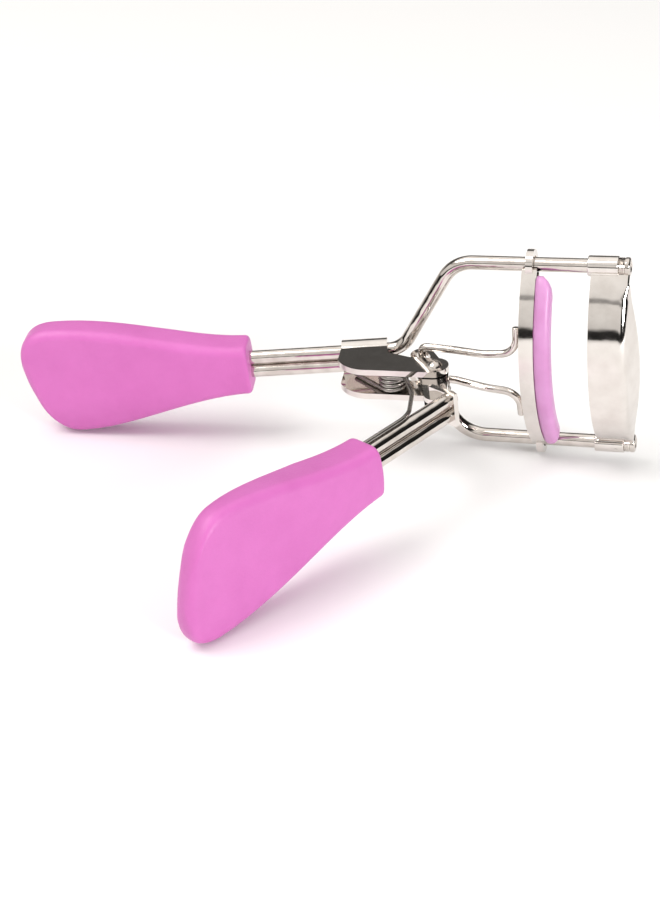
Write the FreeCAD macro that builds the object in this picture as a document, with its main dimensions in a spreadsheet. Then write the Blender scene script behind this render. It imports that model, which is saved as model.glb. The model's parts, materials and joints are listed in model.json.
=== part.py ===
"""Eyelash curler: a wire frame with a fixed clamp plate, a sliding jaw with a pad, and a sprung squeeze lever.

The curler is drawn in its own upright frame, in millimetres: x runs along the two guide rods towards the clamp
plate, z runs from rod to rod, and -y is the side that the squeeze handle opens to. Every sub-part is then laid
down by one shared placement, so that the finished tool lies on a flat surface on its jaw eye and its two grips.
"""

import FreeCAD
import Part
import json
import math
import os
import re

from FreeCAD import Placement, Rotation, Vector

doc = FreeCAD.newDocument("eyelash_curler")

# ---------------------------------------------------------------- driving dimensions
DIMENSIONS = {
    "frame_wire": 2.3,          # diameter of the frame and handle wires
    "rod_half_gap": 16.1,       # guide rod axis to the middle plane
    "rod_tip_x": 3.6,           # end of the bare guide rod
    "rod_corner_x": -23.9,      # corner where a rod turns down towards the handle
    "rod_corner_radius": 5.6,
    "shank_foot_x": -21.8,      # where the fixed handle's axis meets the plane of the rods
    "shank_corner": 11.7,       # from the shank foot to the corner where the two wires come together
    "shank_corner_radius": 4.2,
    "shank_tilt": 12.0,         # fixed handle's lean out of the plane of the rods, degrees
    "twin_gap": 0.14,           # slit between the two shank wires
    "lever_gap": 0.4,           # slit between the two squeeze handle wires
    "wire_in_grip": 14.0,       # how deep the handle wires go into a grip
    "jaw_rise": 7.2,            # height of the jaws' curve over the rods
    "plate_front_x": -1.8,      # pressing edge of the clamp plate
    "plate_back_x": 4.0,
    "plate_sheet": 0.55,
    "flange_chord": 2.0,        # straight inner edge of the plate's crescent flange, over the rods
    "flange_drop": 6.0,         # the flange's cone: this much nearer to the jaw axis
    "flange_flare": 1.75,       # for this much further along the rods
    "barrel_radius": 1.65,
    "barrel_half": 2.4,         # half the length of the barrels that grip the rods
    "cap_radius": 1.5,
    "cap_length": 1.8,
    "cap_bevel": 0.3,
    "bar_back_x": -12.5,        # moving jaw bar, back edge
    "bar_front_x": -10.2,
    "bar_half_thick": 1.3,
    "bar_wall": 0.45,
    "bar_floor": 0.6,
    "eye_radius": 2.4,
    "eye_half": 0.55,
    "rod_clearance": 0.2,
    "pad_front_x": -7.6,
    "pad_half_thick": 1.55,
    "pad_clearance": 0.2,
    "pivot_x": -25.8,
    "pivot_drop": 9.8,          # pivot pin below the plane of the rods, towards -y
    "pin_radius": 0.8,
    "pin_clearance": 0.05,
    "pin_head_radius": 1.25,
    "pin_head_rise": 0.75,
    "ear_inner": 1.7,           # inner face of a bracket ear to the middle plane
    "bracket_sheet": 1.0,
    "pin_reach": 2.7,           # outer face of a bracket ear to the middle plane
    "ear_root": 1.2,            # how far the ears' roots lie from the shank's axis
    "crimp_start": 14.0,        # along the fixed handle from the shank foot
    "crimp_length": 7.5,
    "crimp_sheet": 0.85,
    "crank_outer": 1.55,
    "crank_sheet": 0.8,
    "crank_hub": 2.2,           # radius of the crank's ears round the pivot
    "crank_tail": 1.9,          # radius of the ears round the yoke hooks
    "crank_elbow": 1.8,         # radius at the bend between the pivot and the web
    "crank_foot": 1.2,
    "elbow_depth": 2.6,         # elbow to the squeeze handle's axis
    "hook_reach": 6.4,          # pivot pin to the yoke hooks
    "hook_angle": 57.0,         # direction of the hooks from the pivot, degrees from -x towards +y
    "hook_slot_travel": 1.15,
    "hook_slot_half": 0.98,
    "lever_open": 61.7,         # squeeze handle's angle from the rods at rest, degrees
    "lever_offset": 7.4,        # squeeze handle's axis to the pivot
    "lever_start": 3.8,
    "web_start": 4.7,
    "web_sheet": 0.9,
    "web_width": 5.1,
    "web_inset": 1.7,           # web's outer edge to the squeeze handle's axis
    "web_margin": 0.35,         # web past the wires, rod to rod
    "yoke_wire": 1.25,
    "spring_wire": 0.7,
    "spring_radius": 2.1,
    "spring_turns": 3,
    "spring_pitch": 0.76,
    "spring_x": -32.8,
    "spring_drop": 9.8,
    "spring_rest_lean": 36.0,   # the bracket leg's slope towards the crimp, degrees
    "spring_rest_leg": 7.6,
    "leg_lead": 2.6,            # straight start of the leg that follows the squeeze handle
    "leg_landing": 13.8,        # where it comes down on the squeeze handle
    "leg_lift": 0.1,            # its clearance over the squeeze handle's wire
    "grip_length": 37.8,
    "grip_neck_half": 4.4,
    "grip_wide_half": 9.7,
    "grip_wide_at": 31.2,       # from the mouth to the widest place
    "grip_end_power": 2.4,      # 2 would make the end a plain ellipse, more makes it blunter
    "fixed_grip_slant": 0.22,   # how far the end leans to one side
    "moving_grip_slant": -0.33,
    "fixed_grip_taper": 1.2,    # how much thinner the end is than the mouth
    "moving_grip_taper": 3.2,
    "taper_start": 12.0,
    "grip_thick": 6.6,
    "grip_edge_round": 1.6,
    "fixed_neck": 37.1,         # shank foot to the mouth of the fixed grip
    "moving_neck": 24.3,        # foot of the pivot's perpendicular to the mouth of the moving grip
    "moving_grip_shift": 1.3,   # moving grip's middle outside its wires
}

sheet = doc.addObject("Spreadsheet::Sheet", "dimensions")
for row, (name, value) in enumerate(DIMENSIONS.items(), start=1):
    sheet.set(f"A{row}", name)
    sheet.set(f"B{row}", str(value))
    sheet.setAlias(f"B{row}", name)
doc.recompute()


def dim(name):
    return float(sheet.get(name))


def cell(formula):
    """A formula of dimension names as an expression on the sheet."""
    return re.sub(r"[a-z_]+", lambda name: f"dimensions.{name.group()}", formula)


# ---------------------------------------------------------------- places worked out from the dimensions
UP = Vector(0, 0, 1)
ALONG = Vector(1, 0, 0)
wire_radius = dim("frame_wire") / 2
twin_half = wire_radius + dim("twin_gap") / 2
lever_half = wire_radius + dim("lever_gap") / 2
tilt = math.radians(dim("shank_tilt"))
opened = math.radians(dim("lever_open"))
shank_foot = Vector(dim("shank_foot_x"), 0, 0)
shank_way = Vector(-math.cos(tilt), -math.sin(tilt), 0)
pivot = Vector(dim("pivot_x"), -dim("pivot_drop"), 0)
lever_way = Vector(-math.cos(opened), -math.sin(opened), 0)
lever_side = Vector(math.sin(opened), -math.cos(opened), 0)
lever_foot = pivot + lever_side * dim("lever_offset")
hook_way = Vector(-math.cos(math.radians(dim("hook_angle"))), math.sin(math.radians(dim("hook_angle"))), 0)
hook = pivot + hook_way * dim("hook_reach")
jaw_radius = (dim("rod_half_gap") ** 2 + dim("jaw_rise") ** 2) / (2 * dim("jaw_rise"))
jaw_axis_y = jaw_radius - dim("jaw_rise")
yoke_radius = dim("yoke_wire") / 2
below_pivot = pivot - UP * 2 * dim("pin_reach")


def facing(x_way, y_way):
    """The turn that takes +x to x_way and +y to y_way."""
    return Rotation(x_way, y_way, x_way.cross(y_way), "ZXY")


# ---------------------------------------------------------------- document helpers
def bind(obj, **formulas):
    for prop, formula in formulas.items():
        obj.setExpression(prop, cell(formula))
    return obj


def rod_along(name, start, way, radius, length):
    """A cylinder bound to the sheet, from start along way."""
    rod = doc.addObject("Part::Cylinder", name)
    bind(rod, Radius=radius, Height=length)
    rod.Placement = Placement(start, Rotation(UP, way))
    return rod


def block(name, place, length, width, height):
    box = doc.addObject("Part::Box", name)
    bind(box, Length=length, Width=width, Height=height)
    box.Placement = place
    return box


def fuse(name, shapes):
    result = doc.addObject("Part::MultiFuse", name)
    result.Shapes = shapes
    result.Refine = True
    return result


def cut(name, base, tools):
    result = doc.addObject("Part::Cut", name)
    result.Base = base
    result.Tool = tools[0] if len(tools) == 1 else fuse(name + "_tools", tools)
    result.Refine = True
    return result


def common(name, base, tool):
    result = doc.addObject("Part::Common", name)
    result.Base = base
    result.Tool = tool
    return result


def feature(name, shape):
    piece = doc.addObject("Part::Feature", name)
    piece.Shape = shape
    return piece


def bent_path(points, radii):
    """Straight runs joined by tangent arcs, one radius for each inner point."""
    edges = []
    start = points[0]
    for before, corner, after, radius in zip(points, points[1:], points[2:], radii):
        back = (before - corner).normalize()
        ahead = (after - corner).normalize()
        half = back.getAngle(ahead) / 2
        reach = radius / math.tan(half)
        middle = corner + (back + ahead).normalize() * (radius / math.sin(half) - radius)
        arc_start = corner + back * reach
        arc_end = corner + ahead * reach
        edges.append(Part.LineSegment(start, arc_start).toShape())
        edges.append(Part.Arc(arc_start, middle, arc_end).toShape())
        start = arc_end
    edges.append(Part.LineSegment(start, points[-1]).toShape())
    return Part.Wire(edges)


def round_wire(path, start, way, radius):
    """Sweep a round section along a path that starts at start, heading along way."""
    ring = Part.Wire(Part.Circle(start, way, radius).toShape())
    return path.makePipeShell([ring], True, True)


def straight_run(points):
    return [Part.LineSegment(a, b).toShape() for a, b in zip(points, points[1:])]


def link_face(first, first_radius, second, second_radius, height):
    """A flat face of two round ends joined by their common tangents, at one height."""
    span = second - first
    lean = math.acos((first_radius - second_radius) / span.Length)
    along = math.atan2(span.y, span.x)
    corners = []
    for centre, radius in ((first, first_radius), (second, second_radius)):
        for side in (lean, -lean):
            corners.append(centre + Vector(math.cos(along + side), math.sin(along + side), 0) * radius)
    left_a, right_a, left_b, right_b = corners
    way = span.normalize()
    outline = Part.Wire([
        Part.LineSegment(right_a, right_b).toShape(),
        Part.Arc(right_b, second + way * second_radius, left_b).toShape(),
        Part.LineSegment(left_b, left_a).toShape(),
        Part.Arc(left_a, first - way * first_radius, right_a).toShape(),
    ])
    outline.translate(UP * height)
    return Part.Face(outline)


# ---------------------------------------------------------------- frame
def frame_wire(name, side):
    """One of the two wires that make the guide rods, run together at the shank and enter the fixed grip."""
    rod_z = side * dim("rod_half_gap")
    twin_z = side * twin_half
    in_grip = dim("fixed_neck") + dim("wire_in_grip")
    points = [
        Vector(dim("rod_tip_x"), 0, rod_z),
        Vector(dim("rod_corner_x"), 0, rod_z),
        shank_foot + shank_way * dim("shank_corner") + UP * twin_z,
        shank_foot + shank_way * in_grip + UP * twin_z,
    ]
    path = bent_path(points, (dim("rod_corner_radius"), dim("shank_corner_radius")))
    return feature(name, round_wire(path, points[0], -ALONG, wire_radius))


JAW_ARC = "(rod_half_gap * rod_half_gap + jaw_rise * jaw_rise) / (2 * jaw_rise)"


def jaw_band(name, start_x, length, inner, outer):
    """A curved strip about the jaw axis, outside the plane of the rods, between two radii."""
    centre = Vector(start_x, jaw_axis_y, 0)
    whole = rod_along(name + "_outer", centre, ALONG, f"{JAW_ARC} + {outer}", length)
    hollow = rod_along(name + "_inner", centre, ALONG, f"{JAW_ARC} - {inner}", length)
    corner = Vector(start_x, -3 * dim("jaw_rise"), -dim("rod_half_gap"))
    keep = block(name + "_keep", Placement(corner, Rotation()), length, "3 * jaw_rise", "2 * rod_half_gap")
    return common(name, cut(name + "_ring", whole, [hollow]), keep)


def flare_cone(name, start_x):
    """The cone about the jaw axis that the clamp plate's flange flares along."""
    cone = doc.addObject("Part::Cone", name)
    bind(cone, Radius1=JAW_ARC, Radius2=f"{JAW_ARC} - flange_drop", Height="flange_flare")
    cone.Placement = Placement(Vector(start_x, jaw_axis_y, 0), Rotation(UP, ALONG))
    return cone


def on_both_rods(name, start_x, radius, length):
    """The same cylinder about each guide rod."""
    return [
        rod_along(f"{name}_{label}", Vector(start_x, 0, side * dim("rod_half_gap")), ALONG, radius, length)
        for label, side in (("upper", 1), ("lower", -1))
    ]


def top_plate():
    """Curved clamp plate with a crescent flange along its back edge and a barrel round each rod."""
    front = dim("plate_front_x")
    half_sheet = "plate_sheet / 2"
    band = jaw_band("plate_band", front, "plate_back_x - plate_front_x", half_sheet, half_sheet)
    flange_x = dim("plate_back_x") - dim("plate_sheet")
    disc = rod_along("flange_disc", Vector(flange_x, jaw_axis_y, 0), ALONG, JAW_ARC, "plate_sheet")
    flare = flare_cone("flange_outside", dim("plate_back_x"))
    shell = cut("flange_shell", fuse("flange_solid", [disc, flare]), [flare_cone("flange_inside", flange_x)])
    corner = Vector(flange_x, -dim("flange_chord") - 2 * dim("jaw_rise"), -dim("rod_half_gap"))
    keep = block("flange_keep", Placement(corner, Rotation()), "plate_sheet + flange_flare", "2 * jaw_rise",
                 "2 * rod_half_gap")
    flange = common("plate_flange", shell, keep)
    barrels = on_both_rods("plate_barrel", -dim("barrel_half"), "barrel_radius", "2 * barrel_half")
    body = fuse("plate_body", [band, flange, *barrels])
    bores = on_both_rods("plate_bore", -dim("barrel_half"), "frame_wire / 2", "2 * barrel_half")
    reliefs = on_both_rods("plate_relief", dim("barrel_half"), "cap_radius", "2 * cap_length")
    return cut("top_plate", body, bores + reliefs)


def rod_cap(name, side):
    """Press-on cap that keeps the clamp plate on the end of a rod, with a bevelled end."""
    start = Vector(dim("barrel_half"), 0, side * dim("rod_half_gap"))
    shell = rod_along(name + "_shell", start, ALONG, "cap_radius", "cap_length")
    bevel = doc.addObject("Part::Chamfer", name + "_bevel")
    bevel.Base = shell
    doc.recompute()
    end_x = start.x + dim("cap_length")
    rim = [
        index for index, edge in enumerate(shell.Shape.Edges, 1)
        if abs(edge.BoundBox.XMin - end_x) < 0.01 and edge.BoundBox.XLength < 0.01
    ]
    bevel.Edges = [(index, dim("cap_bevel"), dim("cap_bevel")) for index in rim]
    bore = rod_along(name + "_bore", start, ALONG, "frame_wire / 2", "rod_tip_x - barrel_half")
    return cut(name, bevel, [bore])


def ear_outline():
    """Outline of a bracket ear: rounded over the pin, and swept back under the crimp."""
    start = shank_foot + shank_way * dim("crimp_start")
    end = start + shank_way * dim("crimp_length")
    root = -shank_way.cross(UP) * dim("ear_root")
    over_pin = [pivot + Vector(-0.3, 2.3, 0), pivot + Vector(2.3, 0, 0), pivot + Vector(-0.2, -2.3, 0)]
    under_spring = [Vector(-36.0, -12.3, 0), Vector(-39.0, -12.0, 0), Vector(-42.0, -9.6, 0)]
    throat = [Vector(-34.4, -6.4, 0), Vector(-30.4, -7.6, 0)]
    edges = straight_run([start + root, *throat, over_pin[0]])
    edges.append(Part.Arc(*over_pin).toShape())
    edges += straight_run([over_pin[-1], under_spring[0]])
    edges.append(Part.Arc(*under_spring).toShape())
    edges += straight_run([under_spring[-1], end + root, start + root])
    return Part.Wire(edges)


def pivot_bracket():
    """Sheet bracket crimped round the two handle wires, with two ears that hold the pivot pin."""
    start = shank_foot + shank_way * dim("crimp_start")
    outer = "frame_wire / 2 + crimp_sheet"
    sleeve = []
    for label, side in (("upper", 1), ("lower", -1)):
        sleeve.append(rod_along(f"crimp_{label}", start + UP * side * twin_half, shank_way, outer, "crimp_length"))
    turn = facing(shank_way, UP)
    thick = wire_radius + dim("crimp_sheet")
    back = shank_way.cross(UP) * -thick
    sleeve.append(block("crimp_middle", Placement(start - UP * twin_half + back, turn),
                        "crimp_length", "frame_wire + twin_gap", "frame_wire + 2 * crimp_sheet"))
    ear_face = Part.Face(ear_outline())
    ears = []
    for label, low in (("upper", dim("ear_inner")), ("lower", -dim("ear_inner") - dim("bracket_sheet"))):
        plate = ear_face.copy()
        plate.translate(UP * low)
        ears.append(feature(f"bracket_ear_{label}", plate.extrude(UP * dim("bracket_sheet"))))
    body = fuse("bracket_body", sleeve + ears)
    channel = [
        rod_along(f"crimp_bore_{label}", start + UP * side * twin_half, shank_way, "frame_wire / 2", "crimp_length")
        for label, side in (("upper", 1), ("lower", -1))
    ]
    channel.append(rod_along("bracket_pin_bore", below_pivot, UP, "pin_radius", "4 * pin_reach"))
    return cut("pivot_bracket", body, channel)


def pivot_pin():
    """Rivet through the bracket and the crank, domed at both ends."""
    reach = dim("pin_reach")
    shank = rod_along("pin_shank", pivot - UP * reach, UP, "pin_radius", "2 * pin_reach")
    heads = []
    ball_radius = (dim("pin_head_radius") ** 2 + dim("pin_head_rise") ** 2) / (2 * dim("pin_head_rise"))
    for label, side in (("upper", 1), ("lower", -1)):
        ball = doc.addObject("Part::Sphere", f"pin_ball_{label}")
        head = "(pin_head_radius * pin_head_radius + pin_head_rise * pin_head_rise) / (2 * pin_head_rise)"
        bind(ball, Radius=head)
        ball.Placement = Placement(pivot + UP * side * (reach + dim("pin_head_rise") - ball_radius), Rotation())
        low = reach if side > 0 else -reach - dim("pin_head_rise")
        keep = rod_along(f"pin_keep_{label}", pivot + UP * low, UP, "pin_head_radius", "pin_head_rise")
        heads.append(common(f"pin_head_{label}", ball, keep))
    return fuse("pivot_pin", [shank, *heads])


def torsion_spring():
    """Coil between the bracket ears: one leg bears on the crimp, the other lies along the squeeze handle."""
    pitch = dim("spring_pitch")
    full_turns = dim("spring_turns")
    wire_r = dim("spring_wire") / 2
    centre = Vector(dim("spring_x"), -dim("spring_drop"), 0)
    first_angle = 270 - dim("spring_rest_lean")
    rise = pitch * (full_turns + dim("spring_rest_lean") / 360)
    helix = Part.makeHelix(pitch, rise, dim("spring_radius"))
    helix.Placement = Placement(centre - UP * rise / 2, Rotation(UP, first_angle))
    start, finish = (helix.OrderedVertexes[index].Point for index in (0, -1))
    lean = math.radians(dim("spring_rest_lean"))
    fixed_way = Vector(-math.cos(lean), math.sin(lean), 0)
    ring = Part.Wire(Part.Circle(start, -fixed_way, wire_r).toShape())
    coil = Part.Wire(helix.Edges).makePipeShell([ring], True, True)
    fixed_leg = Part.makeCylinder(wire_r, dim("spring_rest_leg"), start, fixed_way)
    above_wires = lever_foot + UP * (lever_half + wire_radius + wire_r + dim("leg_lift"))
    leg_points = [
        finish,
        finish + ALONG * dim("leg_lead"),
        Vector(-27.6, -17.0, 1.8),
        above_wires + lever_way * dim("leg_landing"),
        above_wires + lever_way * (dim("moving_neck") - 0.5),
    ]
    free_leg = round_wire(bent_path(leg_points, (1.2, 12.0, 6.0)), finish, ALONG, wire_r)
    return feature("torsion_spring", coil.fuse([fixed_leg, free_leg]).removeSplitter())


# ---------------------------------------------------------------- squeeze lever
def lever_wire(name, side):
    start = lever_foot + lever_way * dim("lever_start") + UP * side * lever_half
    return rod_along(name, start, lever_way, "frame_wire / 2", "moving_neck + wire_in_grip - lever_start")


def crank():
    """Bell crank on the pivot pin: two slotted ears for the yoke hooks, and a web that carries the handle wires."""
    outer = dim("crank_outer")
    sheet_thick = dim("crank_sheet")
    web_middle = lever_foot + lever_way * (dim("web_start") + dim("web_sheet") / 2)
    elbow = web_middle - lever_side * dim("elbow_depth")
    hub, tail, bend, foot = (dim(f"crank_{place}") for place in ("hub", "tail", "elbow", "foot"))
    plates = []
    for label, low in (("upper", outer - sheet_thick), ("lower", -outer)):
        links = [
            link_face(pivot, hub, hook, tail, low).extrude(UP * sheet_thick),
            link_face(pivot, hub, elbow, bend, low).extrude(UP * sheet_thick),
            link_face(elbow, bend, web_middle, foot, low).extrude(UP * sheet_thick),
        ]
        plates.append(feature(f"crank_ear_{label}", links[0].fuse(links[1:]).removeSplitter()))
    half_web = lever_half + wire_radius + dim("web_margin")
    web_corner = lever_foot + lever_way * dim("web_start") + lever_side * dim("web_inset") - UP * half_web
    web = block("crank_web", Placement(web_corner, facing(lever_way, UP)), "web_sheet",
                "2 * (frame_wire + web_margin) + lever_gap", "web_width")
    body = fuse("crank_body", plates + [web])
    slot = link_face(pivot + hook_way * (dim("hook_reach") - dim("hook_slot_travel")), dim("hook_slot_half"),
                     hook, dim("hook_slot_half") + 0.001, -outer).extrude(UP * 2 * outer)
    tools = [feature("crank_slot", slot)]
    tools.append(rod_along("crank_bore", below_pivot, UP, "pin_radius + pin_clearance", "4 * pin_reach"))
    for label, side in (("upper", 1), ("lower", -1)):
        start = lever_foot + UP * side * lever_half
        tools.append(rod_along(f"web_bore_{label}", start, lever_way, "frame_wire / 2", "3 * web_start"))
    return cut("crank", body, tools)


# ---------------------------------------------------------------- grips
def grip_edge(slant):
    """Points round a grip from one corner of its mouth to the other, by way of its blunt, slanted end."""
    length, wide_at = dim("grip_length"), dim("grip_wide_at")
    neck, wide = dim("grip_neck_half"), dim("grip_wide_half")
    half = []
    for share in (step / 6 for step in range(7)):
        half.append((wide_at * share, neck + (wide - neck) * share ** 2 * (3 - 2 * share)))
    for turn in (math.pi / 2 * step / 5 for step in range(1, 6)):
        half.append((wide_at + (length - wide_at) * math.sin(turn) ** (2 / dim("grip_end_power")),
                     wide * math.cos(turn) ** (2 / dim("grip_end_power"))))
    both = half + [(along, -across) for along, across in reversed(half[:-1])]
    return [Vector(along + slant * across * (along / length) ** 3, across, 0) for along, across in both]


def grip(name, mouth, way, shift, wires, wire_half, slant, taper):
    """Soft paddle grip: narrow mouth, broad thin end, with two blind holes for the handle wires."""
    body = doc.addObject("PartDesign::Body", name + "_body")
    outline = body.newObject("Sketcher::SketchObject", name + "_outline")
    plane = [f for f in body.Origin.OriginFeatures if f.Role == "XY_Plane"][0]
    outline.AttachmentSupport = [(plane, "")]
    outline.MapMode = "FlatFace"
    points = grip_edge(slant)
    curve = Part.BSplineCurve()
    curve.interpolate(points)
    outline.addGeometry(Part.LineSegment(points[-1], points[0]), False)
    outline.addGeometry(curve, False)
    pad = body.newObject("PartDesign::Pad", name + "_pad")
    pad.Profile = outline
    pad.SideType = "Symmetric"
    bind(pad, Length="grip_thick")
    wedge = body.newObject("Sketcher::SketchObject", name + "_wedge")
    plane = [f for f in body.Origin.OriginFeatures if f.Role == "XZ_Plane"][0]
    wedge.AttachmentSupport = [(plane, "")]
    wedge.MapMode = "FlatFace"
    half, start, length = dim("grip_thick") / 2, dim("taper_start"), dim("grip_length")
    beyond = length + 5
    slope = taper / (length - start)
    back = half + 1
    corners = [Vector(start - 1 / slope, back, 0), Vector(beyond, back, 0),
               Vector(beyond, half - slope * (beyond - start), 0)]
    for here, there in zip(corners, corners[1:] + corners[:1]):
        wedge.addGeometry(Part.LineSegment(here, there), False)
    thinned = body.newObject("PartDesign::Pocket", name + "_thinned")
    thinned.Profile = wedge
    thinned.SideType = "Symmetric"
    thinned.Length = 60
    doc.recompute()
    edges = [
        f"Edge{index}" for index, edge in enumerate(thinned.Shape.Edges, 1)
        if edge.BoundBox.XMax - edge.BoundBox.XMin > 0.5 and edge.BoundBox.YLength > 0.2
    ]
    edge_round = body.newObject("PartDesign::Fillet", name + "_round")
    edge_round.Base = (thinned, edges)
    bind(edge_round, Radius="grip_edge_round")
    body.Tip = edge_round
    body.Placement = Placement(mouth + shift, facing(way, UP))
    holes = [
        rod_along(f"{name}_hole_{label}", wires + UP * side * wire_half, way, "frame_wire / 2", "wire_in_grip")
        for label, side in (("upper", 1), ("lower", -1))
    ]
    return cut(name, body, holes)


# ---------------------------------------------------------------- sliding jaw
def slider_bar():
    """Curved channel bar of the moving jaw, with an eye round each guide rod."""
    shell = jaw_band("bar_shell", dim("bar_back_x"), "bar_front_x - bar_back_x", "bar_half_thick", "bar_half_thick")
    groove_x = dim("bar_back_x") + dim("bar_floor")
    groove_half = "bar_half_thick - bar_wall"
    groove = jaw_band("bar_groove", groove_x, "bar_front_x - bar_back_x - bar_floor",
                      f"({groove_half})", groove_half)
    eye_x = (dim("bar_back_x") + dim("bar_front_x")) / 2 - dim("eye_half")
    eyes = on_both_rods("bar_eye", eye_x, "eye_radius", "2 * eye_half")
    bores = on_both_rods("bar_bore", dim("bar_back_x") - dim("eye_half"), "frame_wire / 2 + rod_clearance",
                         "bar_front_x - bar_back_x + 2 * eye_half")
    return cut("slider_bar", fuse("bar_body", [cut("bar_channel", shell, [groove]), *eyes]), bores)


def silicone_pad():
    """Soft pad: a root in the bar's channel under a thicker head, cut back round the guide rods."""
    groove_x = dim("bar_back_x") + dim("bar_floor")
    root_half = "bar_half_thick - bar_wall"
    root = jaw_band("pad_root", groove_x, "bar_front_x - bar_back_x - bar_floor", f"({root_half})", root_half)
    head = jaw_band("pad_head", dim("bar_front_x"), "pad_front_x - bar_front_x", "pad_half_thick", "pad_half_thick")
    clear = on_both_rods("pad_root_clear", groove_x, "eye_radius + pad_clearance",
                         "bar_front_x - bar_back_x - bar_floor")
    clear += on_both_rods("pad_head_clear", dim("bar_front_x"), "barrel_radius + pad_clearance",
                          "pad_front_x - bar_front_x")
    return cut("silicone_pad", fuse("pad_body", [root, head]), clear)


def yoke_wire(name, side):
    """Link wire: hooked through the crank, S-bent forward and welded to the back of the jaw bar."""
    weld_x = dim("bar_back_x") - yoke_radius
    points = [
        Vector(hook.x, hook.y, side * 0.2),
        Vector(hook.x, hook.y, side * 2.95),
        Vector(-24.0, -4.8, side * 2.8),
        Vector(-18.5, -6.3, side * 3.1),
        Vector(weld_x, -6.5, side * 3.6),
        Vector(weld_x, -5.9, side * 8.0),
    ]
    path = bent_path(points, (0.9, 5.0, 8.0, 2.8))
    return feature(name, round_wire(path, points[0], UP * side, yoke_radius))


# ---------------------------------------------------------------- build every sub-part
def build():
    parts = {
        "frame_wire_upper": frame_wire("frame_wire_upper", 1),
        "frame_wire_lower": frame_wire("frame_wire_lower", -1),
        "top_plate": top_plate(),
        "rod_cap_upper": rod_cap("rod_cap_upper", 1),
        "rod_cap_lower": rod_cap("rod_cap_lower", -1),
        "pivot_bracket": pivot_bracket(),
        "pivot_pin": pivot_pin(),
        "torsion_spring": torsion_spring(),
        "lever_wire_upper": lever_wire("lever_wire_upper", 1),
        "lever_wire_lower": lever_wire("lever_wire_lower", -1),
        "crank": crank(),
        "slider_bar": slider_bar(),
        "silicone_pad": silicone_pad(),
        "yoke_wire_upper": yoke_wire("yoke_wire_upper", 1),
        "yoke_wire_lower": yoke_wire("yoke_wire_lower", -1),
    }
    mouth = shank_foot + shank_way * dim("fixed_neck")
    parts["grip_fixed"] = grip("grip_fixed", mouth, shank_way, Vector(), mouth, twin_half,
                               dim("fixed_grip_slant"), dim("fixed_grip_taper"))
    mouth = lever_foot + lever_way * dim("moving_neck")
    shift = lever_side * dim("moving_grip_shift")
    parts["grip_moving"] = grip("grip_moving", mouth, lever_way, shift, mouth, lever_half,
                                dim("moving_grip_slant"), dim("moving_grip_taper"))
    return parts


def lying_turn():
    """Turn that lays the curler on its lower jaw eye and the lower edges of its two grips."""
    wide_at = dim("grip_wide_at")
    eye_x = (dim("bar_back_x") + dim("bar_front_x")) / 2
    eye = Vector(eye_x, 0, -dim("rod_half_gap") - dim("eye_radius"))
    low = -UP * dim("grip_wide_half")
    fixed = shank_foot + shank_way * (dim("fixed_neck") + wide_at) + low
    moving = lever_foot + lever_way * (dim("moving_neck") + wide_at) + lever_side * dim("moving_grip_shift") + low
    normal = (fixed - eye).cross(moving - eye).normalize()
    if normal.z < 0:
        normal = -normal
    ahead = (ALONG - normal * ALONG.dot(normal)).normalize()
    return Rotation(ahead, normal.cross(ahead), normal, "ZXY").inverted()


def check_states():
    for obj in doc.Objects:
        if "Invalid" in obj.State or "Error" in obj.State:
            raise RuntimeError(f"{obj.Name} failed: {obj.State} {obj.getStatusString()}")


def main():
    parts = build()
    doc.recompute()
    check_states()
    turn = lying_turn()
    boxes = [obj.Shape.transformed(Placement(Vector(), turn).toMatrix(), True).optimalBoundingBox(True, False)
             for obj in parts.values()]
    whole = FreeCAD.BoundBox()
    for box in boxes:
        whole.add(box)
    stand = Placement(Vector(-whole.Center.x, -whole.Center.y, -whole.ZMin), turn)
    for name, obj in parts.items():
        obj.Label = name
        obj.Placement = stand.multiply(obj.Placement)
    doc.recompute()
    check_states()
    os.makedirs("parts", exist_ok=True)
    for name, obj in parts.items():
        shape = obj.Shape
        if shape.isNull() or not shape.isValid() or len(shape.Solids) != 1:
            raise RuntimeError(f"{name} is not one valid solid: {len(shape.Solids)} solids")
        shape.exportStep(f"parts/{name}.step")
        print(f"{name}: {shape.Volume:.2f} mm3")

    def placed(point):
        return [round(value / 1000, 6) for value in stand.multVec(point)]

    def turned(way):
        return [round(value, 6) for value in turn.multVec(way)]

    print("PLACES " + json.dumps({
        "pivot": placed(pivot), "lever_axis": turned(-UP), "slide_axis": turned(ALONG),
        "size": [whole.XLength, whole.YLength, whole.ZLength],
    }))


main()
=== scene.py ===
import json
import math

import bpy
from mathutils import Matrix, Vector


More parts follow.
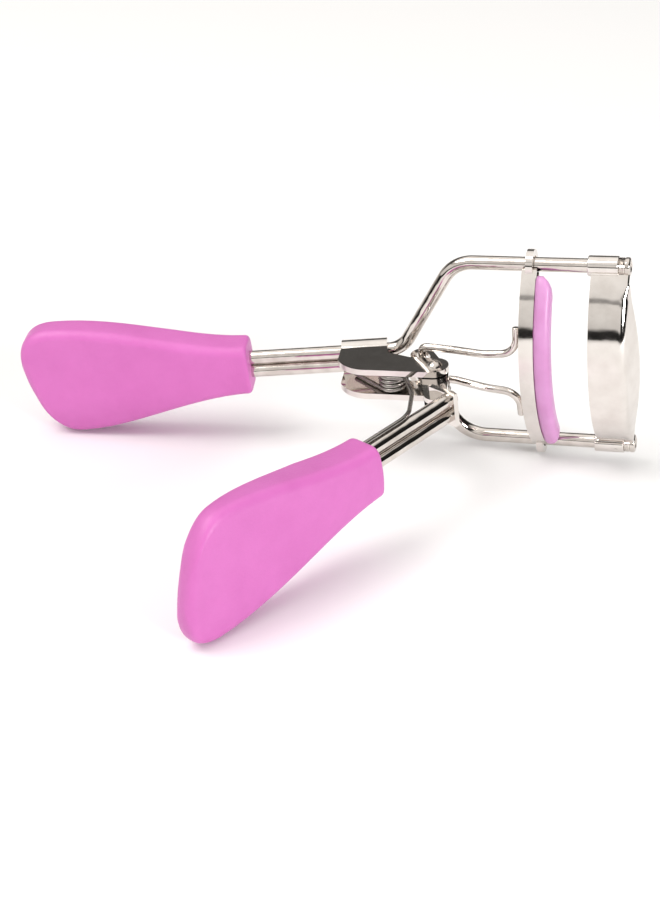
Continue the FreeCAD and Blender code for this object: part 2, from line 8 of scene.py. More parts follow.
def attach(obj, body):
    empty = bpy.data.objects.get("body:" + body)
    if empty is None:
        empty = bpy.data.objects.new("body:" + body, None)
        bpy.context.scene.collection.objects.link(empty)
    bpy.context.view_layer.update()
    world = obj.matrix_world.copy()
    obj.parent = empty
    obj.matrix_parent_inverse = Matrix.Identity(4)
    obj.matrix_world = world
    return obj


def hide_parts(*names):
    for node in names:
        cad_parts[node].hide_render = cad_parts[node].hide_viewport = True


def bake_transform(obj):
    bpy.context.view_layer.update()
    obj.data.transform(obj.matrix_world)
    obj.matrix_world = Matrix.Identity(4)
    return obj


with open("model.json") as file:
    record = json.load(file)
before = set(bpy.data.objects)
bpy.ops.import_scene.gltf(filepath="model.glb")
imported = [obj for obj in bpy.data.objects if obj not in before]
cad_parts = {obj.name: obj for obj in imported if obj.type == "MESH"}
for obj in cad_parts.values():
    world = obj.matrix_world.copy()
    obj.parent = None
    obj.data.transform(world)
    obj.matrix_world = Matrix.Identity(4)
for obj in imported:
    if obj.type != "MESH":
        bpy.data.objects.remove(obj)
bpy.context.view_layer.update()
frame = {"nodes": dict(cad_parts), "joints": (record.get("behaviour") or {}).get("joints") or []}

# ---------------------------------------------------------------- the curler's upright frame, from its joints
JOINTS = {joint["name"]: joint for joint in frame["joints"]}
AHEAD = Vector(JOINTS["jaw_slide"]["axis"]).normalized()
UP = -Vector(JOINTS["lever_squeeze"]["axis"]).normalized()
SIDE = UP.cross(AHEAD)
PIVOT = Vector(JOINTS["lever_squeeze"]["pos_m"])
MM = 0.001

# Sizes in millimetres, in the curler's upright frame: x along the rods, -y to the open side, z rod to rod.
WIRE_R = 1.15
TWIN_HALF = 1.22
LEVER_HALF = 1.35
ROD_Z = 16.1
ROD_TIP_X = 3.6
ROD_CORNER_X = -23.9
FOOT_X = -21.8
SHANK_CORNER = 11.7
FRAME_BENDS = (5.6, 4.2)
TILT = math.radians(12.0)
PIVOT_X, PIVOT_Y = -25.8, -9.8
OPEN = math.radians(61.7)
LEVER_OFFSET = 7.4
LEVER_START, LEVER_END_ROUND = 3.8, 0.35
JAW_RISE = 7.2
JAW_R = (ROD_Z ** 2 + JAW_RISE ** 2) / (2 * JAW_RISE)
JAW_AXIS_Y = JAW_R - JAW_RISE
PLATE_FRONT, PLATE_BACK, PLATE_SHEET = -1.8, 4.0, 0.55
FLANGE_CHORD = 2.0
FLARE = math.atan2(1.75, 6.0)
BARREL_R, BARREL_HALF, BARREL_RIM = 1.65, 2.4, 0.18
CAP_R, CAP_LENGTH = 1.5, 1.8
BAR_BACK, BAR_FRONT = -12.5, -10.2
PAD_FRONT, PAD_HALF = -7.6, 1.55
PAD_TIP_Z, PAD_TAPER, PAD_OVERLAP, PAD_TURN_OUT = 15.2, 3.4, 0.2, 0.9
HOOK_REACH, HOOK_ANGLE = 6.4, math.radians(57.0)
YOKE_R, YOKE_END_ROUND = 0.625, 0.25
YOKE_BENDS = (0.9, 5.0, 8.0, 2.8)
SPRING_R, SPRING_WIRE_R, SPRING_PITCH, SPRING_TURNS = 2.1, 0.35, 0.76, 3
SPRING_X, SPRING_Y = -32.8, -9.8
SPRING_LEAN, SPRING_REST_LEG = math.radians(36.0), 7.6
LEG_LANDING, LEG_LIFT, SPRING_END_ROUND = 13.8, 0.1, 0.1
SPRING_BENDS = (1.2, 12.0, 6.0)
GRIP_LENGTH, GRIP_WIDE_AT, GRIP_WIDE, GRIP_NECK, GRIP_HALF = 37.8, 31.2, 9.7, 4.4, 3.3
GRIP_END_POWER, GRIP_EDGE, GRIP_TAPER_START = 2.4, 1.6, 12.0
FIXED_SLANT, FIXED_TAPER = 0.22, 1.2
MOVING_SLANT, MOVING_TAPER = -0.33, 3.2
GRIP_CROWN, GRIP_LIP, GRIP_LIP_DEPTH = 0.22, 0.7, 0.6
WIRE_IN_GRIP = 14.0
FIXED_NECK, MOVING_NECK, MOVING_SHIFT = 37.1, 24.3, 1.3

Z = Vector((0, 0, 1))
X = Vector((1, 0, 0))
SHANK_FOOT = Vector((FOOT_X, 0, 0))
SHANK_WAY = Vector((-math.cos(TILT), -math.sin(TILT), 0))
PIVOT_MM = Vector((PIVOT_X, PIVOT_Y, 0))
LEVER_WAY = Vector((-math.cos(OPEN), -math.sin(OPEN), 0))
LEVER_SIDE = Vector((math.sin(OPEN), -math.cos(OPEN), 0))
LEVER_FOOT = PIVOT_MM + LEVER_SIDE * LEVER_OFFSET


def place(point):
    """A point of the upright frame, in millimetres, as a point of the row frame, in metres."""
    d = (Vector(point) - PIVOT_MM) * MM
    return PIVOT + AHEAD * d.x + SIDE * d.y + UP * d.z


# ---------------------------------------------------------------- mesh helpers
def mesh_piece(name, vertices, faces, material, body, slot, smooth_angle=40):
    """A smooth-shaded mesh given in the upright frame and placed in the row frame.

    It rides on a body if one is named.
    """
    mesh = bpy.data.meshes.new(name)
    mesh.from_pydata([place(v) for v in vertices], [], faces)
    mesh.validate()
    mesh.materials.append(material)
    piece = bpy.data.objects.new(name, mesh)
    bpy.context.scene.collection.objects.link(piece)
    mesh.shade_smooth()
    mesh.set_sharp_from_angle(angle=math.radians(smooth_angle))
    if body:
        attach(piece, body)
    return piece


def skin(rings):
    """Vertices and faces of a closed tube through rings of points, with n-gon ends."""
    count = len(rings[0])
    vertices = [p for ring in rings for p in ring]
    faces = []
    for k in range(len(rings) - 1):
        a, b = k * count, (k + 1) * count
        for i in range(count):
            j = (i + 1) % count
            faces.append((a + i, a + j, b + j, b + i))
    faces.append(tuple(reversed(range(count))))
    faces.append(tuple(range(len(vertices) - count, len(vertices))))
    return vertices, faces


def bent_route(points, radii, step=0.35):
    """Points along straight runs joined by tangent arcs, close enough together to look round."""
    route = [points[0].copy()]
    for before, corner, after, radius in zip(points, points[1:], points[2:], radii):
        back = (before - corner).normalized()
        ahead = (after - corner).normalized()
        half = back.angle(ahead) / 2
        reach = radius / math.tan(half)
        centre = corner + (back + ahead).normalized() * (radius / math.sin(half))
        first = corner + back * reach - centre
        last = corner + ahead * reach - centre
        turn = first.angle(last)
        count = max(6, int(radius * turn / step))
        axis = first.cross(last).normalized()
        for k in range(count + 1):
            route.append(centre + Matrix.Rotation(turn * k / count, 3, axis) @ first)
    route.append(points[-1].copy())
    return route


def quarter_turn(steps):
    """Angles from 0 to 90 degrees."""
    return [math.pi / 2 * k / steps for k in range(steps + 1)]


def tube_rings(route, radius, sides=32, end_round=0.0):
    """Rings round a route, carried along it without twist, with a rounded rim at its last end."""
    ways = []
    for k in range(len(route)):
        ways.append((route[min(k + 1, len(route) - 1)] - route[max(k - 1, 0)]).normalized())
    across = ways[0].orthogonal().normalized()
    rings = []

    def ring(centre, heading, size):
        other = heading.cross(across)
        return [centre + (across * math.cos(a) + other * math.sin(a)) * size
                for a in (2 * math.pi * i / sides for i in range(sides))]

    for k, point in enumerate(route):
        across = (across - ways[k] * across.dot(ways[k])).normalized()
        rings.append(ring(point, ways[k], radius))
    if end_round:
        for a in quarter_turn(5)[1:]:
            rings.append(ring(route[-1] + ways[-1] * end_round * math.sin(a), ways[-1],
                              radius - end_round * (1 - math.cos(a))))
    return rings


def tube(name, route, radius, material, body, slot, sides=32, end_round=0.0):
    """A round wire along a route."""
    return mesh_piece(name, *skin(tube_rings(route, radius, sides, end_round)), material, body, slot)


# ---------------------------------------------------------------- materials
GRIP_PINKS = (0.585, 0.140, 0.445, 1), (0.635, 0.163, 0.49, 1)
PAD_PINKS = (0.575, 0.25, 0.505, 1), (0.625, 0.294, 0.566, 1)


def new_material(name):
    """A new node material, with its nodes, its links and its main shader."""
    material = bpy.data.materials.new(name)
    material.use_nodes = True
    nodes = material.node_tree.nodes
    return material, nodes, material.node_tree.links, nodes["Principled BSDF"]


def noise(nodes, links, scale, detail=2.0, roughness=0.5):
    """Noise in object space, so that it stays on the piece; scale counts blobs to the metre."""
    position = nodes.new("ShaderNodeTexCoord")
    texture = nodes.new("ShaderNodeTexNoise")
    texture.inputs["Scale"].default_value = scale
    texture.inputs["Detail"].default_value = detail
    texture.inputs["Roughness"].default_value = roughness
    links.new(position.outputs["Object"], texture.inputs["Vector"])
    return texture.outputs["Fac"]


def ramp(nodes, links, source, low, high, first, last):
    """Map a value from low to high onto two colours or greys."""
    steps = nodes.new("ShaderNodeValToRGB")
    steps.color_ramp.elements[0].position = low
    steps.color_ramp.elements[1].position = high
    steps.color_ramp.elements[0].color = first
    steps.color_ramp.elements[1].color = last
    links.new(source, steps.inputs["Fac"])
    return steps.outputs["Color"]


def grey(value):
    return (value, value, value, 1.0)


def bump(nodes, links, height, strength, distance, shader):
    """Small relief on a shader's surface; distance is in metres."""
    node = nodes.new("ShaderNodeBump")
    node.inputs["Strength"].default_value = strength
    node.inputs["Distance"].default_value = distance
    links.new(height, node.inputs["Height"])
    links.new(node.outputs["Normal"], shader.inputs["Normal"])


def speckle(nodes, links, fac, spread, colours, socket):
    """Drive a shader socket by noise, between two colours or two greys."""
    links.new(ramp(nodes, links, fac, *spread, *colours), socket)


def metal(name, colour, worn, low_rough, high_rough, ripple):
    """Plated steel: slightly uneven colour and polish, with a faint ripple in the plate."""
    material, nodes, links, shader = new_material(name)
    shader.inputs["Metallic"].default_value = 1.0
    cloud = noise(nodes, links, 420.0, 3.0)
    speckle(nodes, links, cloud, (0.35, 0.7), (colour, worn), shader.inputs["Base Color"])
    polish = noise(nodes, links, 900.0, 4.0, 0.6)
    roughness = grey(low_rough), grey(high_rough)
    speckle(nodes, links, polish, (0.3, 0.75), roughness, shader.inputs["Roughness"])
    wave = noise(nodes, links, 260.0, 1.5)
    bump(nodes, links, wave, ripple, 0.0006, shader)
    return material


def grip_material():
    """Soft-touch pink moulding with a fine matte grain."""
    material, nodes, links, shader = new_material("soft_touch_pink")
    tone = noise(nodes, links, 150.0, 4.0, 0.6)
    speckle(nodes, links, tone, (0.3, 0.72), GRIP_PINKS, shader.inputs["Base Color"])
    grain = noise(nodes, links, 2600.0, 3.0, 0.65)
    speckle(nodes, links, grain, (0.3, 0.7), (grey(0.36), grey(0.50)), shader.inputs["Roughness"])
    bump(nodes, links, grain, 0.35, 0.00012, shader)
    shader.inputs["Specular IOR Level"].default_value = 0.4
    shader.inputs["Subsurface Weight"].default_value = 0.06
    shader.inputs["Subsurface Radius"].default_value = (1.0, 0.4, 0.7)
    shader.inputs["Subsurface Scale"].default_value = 0.001
    shader.inputs["Sheen Weight"].default_value = 0.08
    shader.inputs["Sheen Roughness"].default_value = 0.4
    return material


def pad_material():
    """Smooth, slightly waxy silicone."""
    material, nodes, links, shader = new_material("silicone_pink")
    tone = noise(nodes, links, 260.0, 2.0)
    speckle(nodes, links, tone, (0.3, 0.7), PAD_PINKS, shader.inputs["Base Color"])
    skin_grain = noise(nodes, links, 1800.0, 2.0)
    speckle(nodes, links, skin_grain, (0.3, 0.7), (grey(0.30), grey(0.42)), shader.inputs["Roughness"])
    bump(nodes, links, skin_grain, 0.12, 0.0001, shader)
    shader.inputs["Subsurface Weight"].default_value = 0.2
    shader.inputs["Subsurface Radius"].default_value = (1.0, 0.5, 0.8)
    shader.inputs["Subsurface Scale"].default_value = 0.001
    return material


# Two tones of each metal, then its lowest and highest roughness and its ripple.
NICKEL = metal("polished_nickel", (0.74, 0.69, 0.65, 1), (0.58, 0.53, 0.49, 1), 0.05, 0.13, 0.22)
SHEET = metal("plated_sheet", (0.77, 0.73, 0.695, 1), (0.70, 0.655, 0.62, 1), 0.05, 0.11, 0.07)
SPRING = metal("spring_steel", (0.34, 0.32, 0.30, 1), (0.24, 0.22, 0.21, 1), 0.16, 0.30, 0.15)
GRIP = grip_material()
PAD = pad_material()


# ---------------------------------------------------------------- wires
def frame_wire(name, side):
    """One wire from the end of a guide rod, round the corner and along the fixed handle into its grip."""
    rod_z, twin_z = side * ROD_Z, side * TWIN_HALF
    points = [
        Vector((ROD_TIP_X, 0, rod_z)),
        Vector((ROD_CORNER_X, 0, rod_z)),
        SHANK_FOOT + SHANK_WAY * SHANK_CORNER + Z * twin_z,
        SHANK_FOOT + SHANK_WAY * (FIXED_NECK + WIRE_IN_GRIP) + Z * twin_z,
    ]
    wire = tube(name + "_bent", bent_route(points, FRAME_BENDS), WIRE_R, NICKEL, "frame", "nickel_steel")
    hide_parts(name)


def lever_wire(name, side):
    """Straight wire of the squeeze handle, drawn from inside the grip to its rounded end at the crank."""
    start = LEVER_FOOT + LEVER_WAY * (LEVER_START + LEVER_END_ROUND) + Z * side * LEVER_HALF
    end = LEVER_FOOT + LEVER_WAY * (MOVING_NECK + WIRE_IN_GRIP) + Z * side * LEVER_HALF
    wire = tube(name + "_rod", [end, start], WIRE_R, NICKEL, "lever", "nickel_steel",
                end_round=LEVER_END_ROUND)
    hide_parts(name)


def yoke_wire(name, side):
    """Link wire from its hook in the crank to the back of the jaw's bar."""
    hook = PIVOT_MM + Vector((-math.cos(HOOK_ANGLE), math.sin(HOOK_ANGLE), 0)) * HOOK_REACH
    weld_x = BAR_BACK - YOKE_R
    points = [
        Vector((hook.x, hook.y, side * 0.2)),
        Vector((hook.x, hook.y, side * 2.95)),
        Vector((-24.0, -4.8, side * 2.8)),
        Vector((-18.5, -6.3, side * 3.1)),
        Vector((weld_x, -6.5, side * 3.6)),
        Vector((weld_x, -5.9, side * 7.75)),
    ]
    route = bent_route(points, YOKE_BENDS)
    wire = tube(name + "_link", route, YOKE_R, NICKEL, "slider", "nickel_steel", 24, YOKE_END_ROUND)
    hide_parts(name)


def torsion_spring():
    """Coil and both legs as one wire, with no body to ride on, because it bends between two."""
    centre = Vector((SPRING_X, SPRING_Y, 0))
    sweep = 2 * math.pi * SPRING_TURNS + SPRING_LEAN
    rise = SPRING_PITCH * sweep / (2 * math.pi)
    first = math.radians(270) - SPRING_LEAN
    coil = []
    steps = 150
    for k in range(steps + 1):
        a = first + sweep * k / steps
        coil.append(centre + Vector((math.cos(a), math.sin(a), 0)) * SPRING_R + Z * rise * (k / steps - 0.5))
    rest_end = coil[0] + Vector((-math.cos(SPRING_LEAN), math.sin(SPRING_LEAN), 0)) * SPRING_REST_LEG
    above = LEVER_FOOT + Z * (LEVER_HALF + WIRE_R + SPRING_WIRE_R + LEG_LIFT)
    leg = bent_route([
        coil[-1],
        coil[-1] + X * 2.6,
        Vector((-27.6, -17.0, 1.8)),
        above + LEVER_WAY * LEG_LANDING,
        above + LEVER_WAY * (MOVING_NECK + 3.0),
    ], SPRING_BENDS)
    route = [rest_end] + coil + leg[1:]
    wire = tube("torsion_spring_wire", route, SPRING_WIRE_R, SPRING, None, "spring_steel", 16,
                SPRING_END_ROUND)
    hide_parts("torsion_spring")
    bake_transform(wire)


# ---------------------------------------------------------------- grips
def grip_half_width(u):
    """Half the grip's width at a distance from its mouth: a smooth swell, then a blunt round end."""
    if u <= GRIP_WIDE_AT:
        f = u / GRIP_WIDE_AT
        return GRIP_NECK + (GRIP_WIDE - GRIP_NECK) * f * f * (3 - 2 * f)
    f = min(1.0, (u - GRIP_WIDE_AT) / (GRIP_LENGTH - GRIP_WIDE_AT))
    return GRIP_WIDE * (1 - f ** GRIP_END_POWER) ** (1 / GRIP_END_POWER)


def grip_section(wide, near, far, edge):
    """Rounded box section as (across, out) points: slightly crowned faces between round edges.

    It reaches near and far out from the handle's middle plane, on its two sides.
    """
    middle, half = (near - far) / 2, (near + far) / 2
    edge = min(edge, wide, half)
    points = []
    for quarter in range(4):
        across = (wide - edge) * (1 if quarter in (0, 3) else -1)
        face_way = 1 if quarter in (0, 1) else -1
        out = (half - edge) * face_way
        for k in range(11):
            a = math.pi / 2 * (quarter + k / 10)
            points.append((across + edge * math.cos(a), middle + out + edge * math.sin(a)))
        if quarter in (0, 2):
            for k in range(1, 10):
                f = 1 - 2 * k / 10
                crown = GRIP_CROWN * (1 - f * f) * min(1.0, half)
                points.append((across * f, middle + out + (edge + crown) * face_way))
    return points


def grip(name, body, mouth, heading, side_way, slant, taper):
    """Paddle grip with a soft boxy section that thins to its blunt, slanted end."""
    end_run = GRIP_LENGTH - GRIP_WIDE_AT
    stations = [0.0, 0.06, 0.2, 0.42, 0.7] + [1.0 + (GRIP_WIDE_AT - 1.0) * k / 40 for k in range(41)]
    stations += [GRIP_WIDE_AT + end_run * math.sin(math.pi / 2 * k / 36) for k in range(1, 36)]
    stations.append(GRIP_LENGTH - 0.003)
    rings = []
    for u in stations:
        lip = max(0.0, 1 - u / GRIP_LIP)
        trim = GRIP_LIP_DEPTH * (1 - math.sqrt(1 - lip ** 2))
        thinned = taper * max(0.0, u - GRIP_TAPER_START) / (GRIP_LENGTH - GRIP_TAPER_START)
        over = max(0.0, u - (GRIP_LENGTH - GRIP_EDGE))
        rounded = GRIP_EDGE - math.sqrt(GRIP_EDGE ** 2 - over ** 2)
        near = GRIP_HALF - trim - rounded
        far = GRIP_HALF - trim - rounded - thinned
        ring = []
        for across, out in grip_section(grip_half_width(u) - trim, near, far, GRIP_EDGE):
            lean = slant * across * (u / GRIP_LENGTH) ** 3
            ring.append(mouth + heading * (u + lean) + Z * across + side_way * out)
        rings.append(ring)
    moulding = mesh_piece(name + "_moulding", *skin(rings), GRIP, body, "grip_pink", smooth_angle=60)
    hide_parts(name)


# ---------------------------------------------------------------- jaws
def jaw_point(x, angle, radial):
    """A point of the jaws' curve: angle from its top, radial distance outside its middle line."""
    radius = JAW_R + radial
    return Vector((x, JAW_AXIS_Y - radius * math.cos(angle), radius * math.sin(angle)))


def silicone_pad():
    """The pad's head: a rounded bead bent to the jaws' curve, with slim ends that turn out over the rods."""
    half_angle = math.asin(PAD_TIP_Z / (JAW_R + PAD_TURN_OUT))
    sides, count = 36, 110
    back = BAR_FRONT - PAD_OVERLAP
    middle, half_deep = (PAD_FRONT + back) / 2, (PAD_FRONT - back) / 2
    rings = []
    for k in range(count + 1):
        f = -1 + 2 * k / count
        from_end = (1 - abs(f)) * half_angle * JAW_R
        slim = max(0.0, 1 - from_end / PAD_TAPER)
        thick = PAD_HALF * math.sqrt(max(1e-4, 1 - slim ** 2.2))
        deep = half_deep * max(0.12, 1 - slim ** 2.6) ** 0.5
        turned_out = PAD_TURN_OUT * slim ** 1.5
        ring = []
        for i in range(sides):
            a = 2 * math.pi * i / sides
            c, s = math.cos(a), math.sin(a)
            radial = math.copysign(abs(c) ** 0.8, c) * thick + turned_out
            reach = math.copysign(abs(s) ** 0.8, s) * deep - (half_deep - deep) * 0.6
            ring.append(jaw_point(middle + reach, half_angle * f, radial))
        rings.append(ring)
    bead = mesh_piece("silicone_pad_bead", *skin(rings), PAD, "slider", "pad_pink", smooth_angle=60)
    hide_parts("silicone_pad")


def plate_section(angle):
    """The plate's middle line across its curve, from the pressing edge, over the fold, to the flange's rim.

    Each point is (x, depth below the curve, turn of the sheet).
    """
    depth = max(0.0, JAW_R - (JAW_AXIS_Y + FLANGE_CHORD) / math.cos(angle))
    fold = min(1.15, 0.1 + 0.6 * depth)
    fold_x = PLATE_BACK - fold
    turn = math.pi / 2 - FLARE
    deepest_fold = fold * (1 - math.cos(turn))
    points = [(PLATE_FRONT + (fold_x - PLATE_FRONT) * k / 10, 0.0, 0.0) for k in range(11)]
    last_turn = turn if depth > deepest_fold else math.acos(max(-1.0, 1 - depth / fold))
    for k in range(1, 13):
        a = last_turn * k / 12
        points.append((fold_x + fold * math.sin(a), fold * (1 - math.cos(a)), a))
    x, reached, _ = points[-1]
    left = max(0.0, depth - reached)
    for k in range(1, 9):
        points.append((x + left * math.tan(FLARE) * k / 8, reached + left * k / 8, last_turn))
    return points


def top_plate():
    """Clamp plate: a curved strip folded into a flared crescent flange, with rounded edges."""
    half = PLATE_SHEET / 2
    half_angle = math.asin(ROD_Z / JAW_R)
    rings = []
    for k in range(121):
        angle = half_angle * (-1 + k / 60)
        section = plate_section(angle)
        outside = [(x + half * math.sin(turn), half * math.cos(turn) - deep) for x, deep, turn in section]
        inside = [(x - half * math.sin(turn), -half * math.cos(turn) - deep) for x, deep, turn in section]
        rim = []
        x, deep, turn = section[-1]
        for a in (60, 30, 0, -30, -60):
            a = math.radians(a) - turn
            rim.append((x + half * math.cos(a) * 0.9, half * math.sin(a) * 0.9 - deep))
        front = [(PLATE_FRONT - 0.06, half * q) for q in (-0.6, 0.0, 0.6)]
        loop = outside + rim + inside[::-1] + front
        rings.append([jaw_point(x, angle, radial) for x, radial in loop])
    sheet = mesh_piece("top_plate_sheet", *skin(rings), SHEET, "frame", "nickel_steel", smooth_angle=35)
    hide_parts("top_plate")


def lathe(name, centre, profile, material, body, slot, dent=None):
    """A part turned about an axis along the rods: profile of (x, radius), with an optional dent(x, angle)."""
    rings = []
    for x, radius in profile:
        ring = []
        for i in range(64):
            a = 2 * math.pi * i / 64
            r = radius - (dent(x, a) if dent else 0.0)
            ring.append(centre + X * x + Vector((0, -math.cos(a), math.sin(a))) * r)
        rings.append(ring)
    return mesh_piece(name, *skin(rings), material, body, slot, smooth_angle=35)


def barrel(label, side):
    """Barrel rolled round a rod: a seam along it, and on the lower one a punched dimple."""
    seam = math.radians(-20 if side > 0 else 28)
    seam_depth, seam_half_angle = 0.16, 0.07
    dimple_x, dimple_angle, dimple_depth, dimple_r = 1.1, -0.35, 0.3, 0.3

    def dent(x, a):
        off = math.remainder(a - seam, 2 * math.pi)
        depth = seam_depth * math.exp(-(off / seam_half_angle) ** 2)
        if side < 0:
            round_off = math.remainder(a - dimple_angle, 2 * math.pi) * BARREL_R
            spot = math.hypot(x - dimple_x, round_off)
            depth += dimple_depth * math.exp(-(spot / dimple_r) ** 2)
        return depth

    straight, steps = 2 * (BARREL_HALF - BARREL_RIM), 40
    rim = [(BARREL_HALF - BARREL_RIM * (1 - math.cos(t)), BARREL_R - BARREL_RIM * (1 - math.sin(t)))
           for t in quarter_turn(4)]
    profile = [(-x, radius) for x, radius in rim]
    profile += [(-BARREL_HALF + BARREL_RIM + straight * k / steps, BARREL_R) for k in range(1, steps)]
    profile += reversed(rim)
    centre = Vector((0, 0, side * ROD_Z))
    lathe("plate_barrel_" + label, centre, profile, SHEET, "frame", "nickel_steel", dent)


def rod_cap(label, side):
    """Pressed cap: a knurled skirt, a groove and a rounded end with a shallow dish."""
    skirt_r, knurl_pitch, knurl_depth, end_round = CAP_R - 0.02, 0.1, 0.07, 0.4
    start, end = BARREL_HALF, BARREL_HALF + CAP_LENGTH
    profile = [(start + 0.02, 1.2), (start + 0.02, 1.38), (start + 0.12, skirt_r)]
    profile += [(start + 0.12 + knurl_pitch * k, skirt_r - knurl_depth * (k % 2)) for k in range(1, 8)]
    profile += [(start + 0.95, CAP_R - 0.16), (start + 1.02, skirt_r)]
    profile += [(end - end_round * (1 - math.sin(t)), CAP_R - end_round * (1 - math.cos(t)))
                for t in quarter_turn(6)]
    profile += [(end - 0.02, 0.95), (end - 0.14, 0.8), (end - 0.16, 0.05)]
    centre = Vector((0, 0, side * ROD_Z))
    cap = lathe("rod_cap_" + label + "_pressed", centre, profile, NICKEL, "frame", "nickel_steel")
    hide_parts("rod_cap_" + label)


# ---------------------------------------------------------------- CAD nodes that keep their shape
def finish_node(name, material, width=0.00014):
    """Give a CAD node its material and a small worn edge, of a width in metres."""
    node = frame["nodes"][name]
    node.data.materials.clear()
    node.data.materials.append(material)
    edge = node.modifiers.new("edge", "BEVEL")
    edge.width = width
    edge.segments = 3
    edge.limit_method = "ANGLE"
    edge.angle_limit = math.radians(35)
    edge.harden_normals = True


# ---------------------------------------------------------------- stage, light and camera
# Brightness up from the horizon: pairs of height (the sine of the elevation) and brightness.
FRONT_BANDS = ((0.0, 0.02), (0.13, 0.02), (0.17, 0.8), (0.50, 0.95), (0.515, 0.35), (0.55, 0.35), (0.575, 0.95),
               (1.0, 1.2))
REAR_BANDS = ((0.0, 0.5), (0.22, 0.4), (0.30, 0.08), (0.62, 0.10), (0.70, 0.95), (1.0, 1.3))
RIGHT_BANDS = ((0.0, 0.012), (0.70, 0.02), (0.80, 0.8), (1.0, 1.25))
WARMTH = (1.0, 0.975, 0.94)
LIGHTS_AIM = Vector((0, 0, 0.01))
CAMERA_AIM = Vector((0.00493, 0.01266, 0.00672))


def floor():
    """Plain white floor, just under the lowest point of the curler."""
    material, _, _, shader = new_material("floor_white")
    shader.inputs["Base Color"].default_value = (0.93, 0.93, 0.935, 1)
    shader.inputs["Roughness"].default_value = 0.8
    shader.inputs["Specular IOR Level"].default_value = 0.2
    bpy.ops.mesh.primitive_plane_add(size=6.0, location=(0, 0, -0.0002))
    plane = bpy.context.object
    plane.name = "floor"
    plane.data.materials.append(material)


def soft_light(name, location, size, power, colour=(1, 1, 1)):
    """Rectangular area light that faces the curler."""
    data = bpy.data.lights.new(name, "AREA")
    data.shape = "RECTANGLE"
    data.size, data.size_y = size
    data.energy = power
    data.color = colour
    light = bpy.data.objects.new(name, data)
    bpy.context.scene.collection.objects.link(light)
    light.location = location
    light.rotation_mode = "QUATERNION"
    light.rotation_quaternion = (LIGHTS_AIM - Vector(location)).to_track_quat("-Z", "Y")


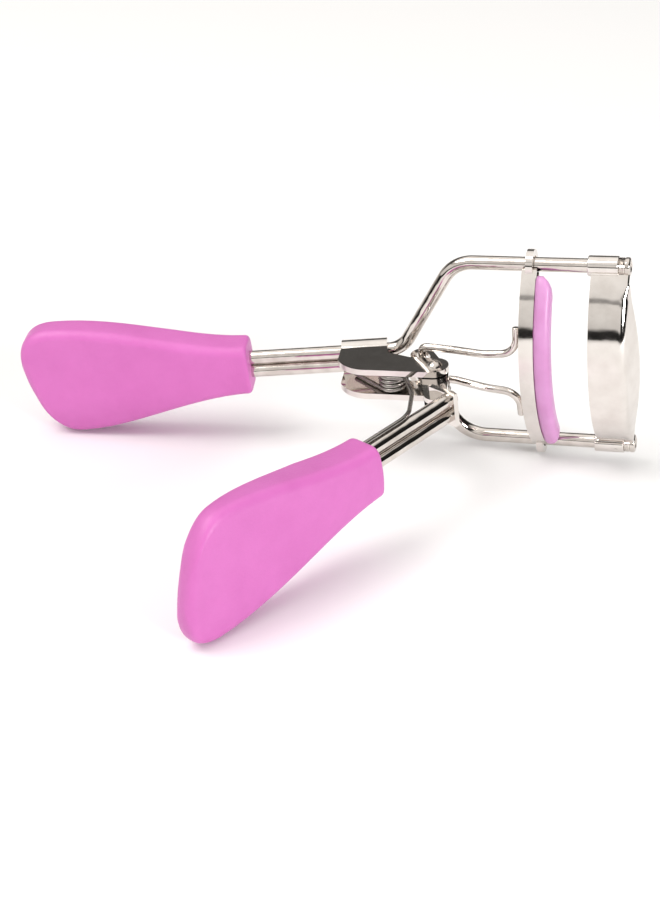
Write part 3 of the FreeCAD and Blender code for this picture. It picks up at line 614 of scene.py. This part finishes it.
def sky():
    """Studio surroundings: bright overhead, dark on the right, dark behind and a dark line in front."""
    world = bpy.data.worlds.new("studio")
    world.use_nodes = True
    nodes, links = world.node_tree.nodes, world.node_tree.links
    direction = nodes.new("ShaderNodeTexCoord").outputs["Generated"]
    wobble = nodes.new("ShaderNodeTexNoise")
    wobble.inputs["Scale"].default_value = 5.0
    wobble.inputs["Detail"].default_value = 2.0
    links.new(direction, wobble.inputs["Vector"])
    split = nodes.new("ShaderNodeSeparateXYZ")
    links.new(direction, split.inputs["Vector"])

    height = nodes.new("ShaderNodeMath")
    height.operation = "MULTIPLY_ADD"
    height.inputs[1].default_value = 0.03
    links.new(wobble.outputs["Fac"], height.inputs[0])
    links.new(split.outputs["Z"], height.inputs[2])

    def bands(stops):
        steps = nodes.new("ShaderNodeValToRGB")
        links.new(height.outputs["Value"], steps.inputs["Fac"])
        elements = steps.color_ramp.elements
        elements[0].position, elements[1].position = stops[0][0], stops[-1][0]
        for position, _ in stops[1:-1]:
            elements.new(position)
        for element, (_, value) in zip(elements, stops):
            element.color = (*(value * share for share in WARMTH), 1.0)
        return steps.outputs["Color"]

    def mixed(share, first, second):
        """Mix two colours, which are the node's third pair of inputs and its third output."""
        mix = nodes.new("ShaderNodeMix")
        mix.data_type = "RGBA"
        for socket, source in ((0, share), (6, first), (7, second)):
            links.new(source, mix.inputs[socket])
        return mix.outputs[2]

    def smooth(value, low, high):
        node = nodes.new("ShaderNodeMapRange")
        node.interpolation_type = "SMOOTHSTEP"
        links.new(value, node.inputs["Value"])
        node.inputs["From Min"].default_value = low
        node.inputs["From Max"].default_value = high
        return node.outputs["Result"]

    around = mixed(smooth(split.outputs["Y"], -0.15, 0.15), bands(FRONT_BANDS), bands(REAR_BANDS))
    around = mixed(smooth(split.outputs["X"], 0.28, 0.42), around, bands(RIGHT_BANDS))
    links.new(around, nodes["Background"].inputs["Color"])
    nodes["Background"].inputs["Strength"].default_value = 1.0
    bpy.context.scene.world = world


def studio():
    floor()
    sky()
    soft_light("key", (-0.40, -0.22, 0.72), (0.45, 0.45), 3.4, (1.0, 0.98, 0.95))
    soft_light("side", (0.75, -0.42, 0.30), (0.30, 0.22), 5.4)
    bpy.context.scene.view_settings.view_transform = "Standard"


def camera():
    """A level view from above the open side, about a forearm's length away."""
    azimuth, elevation = math.radians(17.70), math.radians(29.09)
    distance, focal_heights = 0.2672, 1.8616
    back = Vector((math.sin(azimuth) * math.cos(elevation), -math.cos(azimuth) * math.cos(elevation),
                   math.sin(elevation)))
    data = bpy.data.cameras.new("camera")
    data.sensor_width = 36
    data.lens = focal_heights * data.sensor_width
    data.clip_start, data.clip_end = 0.01, 20
    view = bpy.data.objects.new("camera", data)
    bpy.context.scene.collection.objects.link(view)
    view.location = CAMERA_AIM + back * distance
    view.rotation_mode = "QUATERNION"
    view.rotation_quaternion = (-back).to_track_quat("-Z", "Y")
    bpy.context.scene.camera = view


# ---------------------------------------------------------------- build
for label, sign in (("upper", 1), ("lower", -1)):
    frame_wire("frame_wire_" + label, sign)
    lever_wire("lever_wire_" + label, sign)
    yoke_wire("yoke_wire_" + label, sign)
    barrel(label, sign)
    rod_cap(label, sign)
top_plate()
for sheet_part in ("pivot_bracket", "crank", "slider_bar"):
    finish_node(sheet_part, SHEET)
finish_node("pivot_pin", NICKEL, 0.00005)
torsion_spring()

fixed_mouth = SHANK_FOOT + SHANK_WAY * FIXED_NECK
fixed_side = Vector((math.sin(TILT), -math.cos(TILT), 0))
grip("grip_fixed", "frame", fixed_mouth, SHANK_WAY, fixed_side, FIXED_SLANT, FIXED_TAPER)
moving_mouth = LEVER_FOOT + LEVER_WAY * MOVING_NECK + LEVER_SIDE * MOVING_SHIFT
grip("grip_moving", "lever", moving_mouth, LEVER_WAY, LEVER_SIDE, MOVING_SLANT, MOVING_TAPER)
silicone_pad()

studio()
camera()
